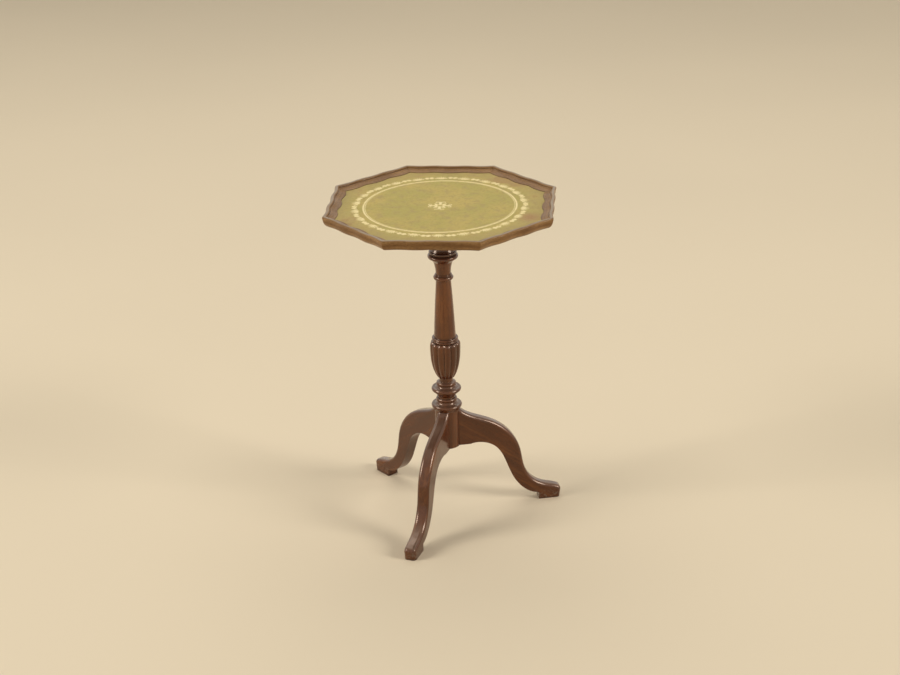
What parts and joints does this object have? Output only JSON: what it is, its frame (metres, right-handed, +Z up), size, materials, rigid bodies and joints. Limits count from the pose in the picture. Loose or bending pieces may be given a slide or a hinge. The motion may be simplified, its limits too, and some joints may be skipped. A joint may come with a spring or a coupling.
{
  "type": "tilt top table",
  "caption": "Small tripod wine table with a leather-lined octagonal tray top that tips upright on two pins and is held level by a sliding catch under the board.",
  "frame": {"origin": "on the floor, on the axis of the column", "axes": "+Z up along the column; the back leg points to +Y; the pins that the top tips about lie along X, and the tipped top's leather faces -Y"},
  "size_m": [0.364, 0.3765, 0.555],
  "materials": {
    "mahogany": "dark red-brown, French polished",
    "pale_wood": "plain hardwood, unpolished",
    "leather": "olive green hide, gold tooled",
    "brass": "aged brass",
    "iron": "dark iron and steel"
  },
  "bodies": {
    "base": {"column": "mahogany", "leg_back": "mahogany", "leg_left": "mahogany", "leg_right": "mahogany", "pivot_block": "mahogany", "tenon_wedge": "pale_wood", "spider_plate": "iron", "spider_screws": "iron", "pivot_pin_left": "iron", "pivot_pin_right": "iron", "keeper_plate": "brass", "keeper_screws": "brass"},
    "top": {"top_panel": "mahogany", "rim_moulding_1": "mahogany", "rim_moulding_2": "mahogany", "rim_moulding_3": "mahogany", "rim_moulding_4": "mahogany", "rim_moulding_5": "mahogany", "rim_moulding_6": "mahogany", "rim_moulding_7": "mahogany", "rim_moulding_8": "mahogany", "leather_panel": "leather", "bearer_left": "mahogany", "bearer_right": "mahogany", "bearer_screws": "iron", "catch_case": "brass", "catch_screws": "brass"},
    "catch": {"catch_bolt": "brass", "catch_knob": "brass"}
  },
  "joints": [
    {"name": "top_tilt", "type": "hinge", "parent": "base", "child": "top", "pos_m": [0, -0.024, 0.524], "axis": [1, 0, 0], "range_deg": [0, 90]},
    {"name": "catch_bolt_slide", "type": "slide", "parent": "top", "child": "catch", "axis": [0, -1, 0], "range_m": [0, 0.011]}
  ]
}
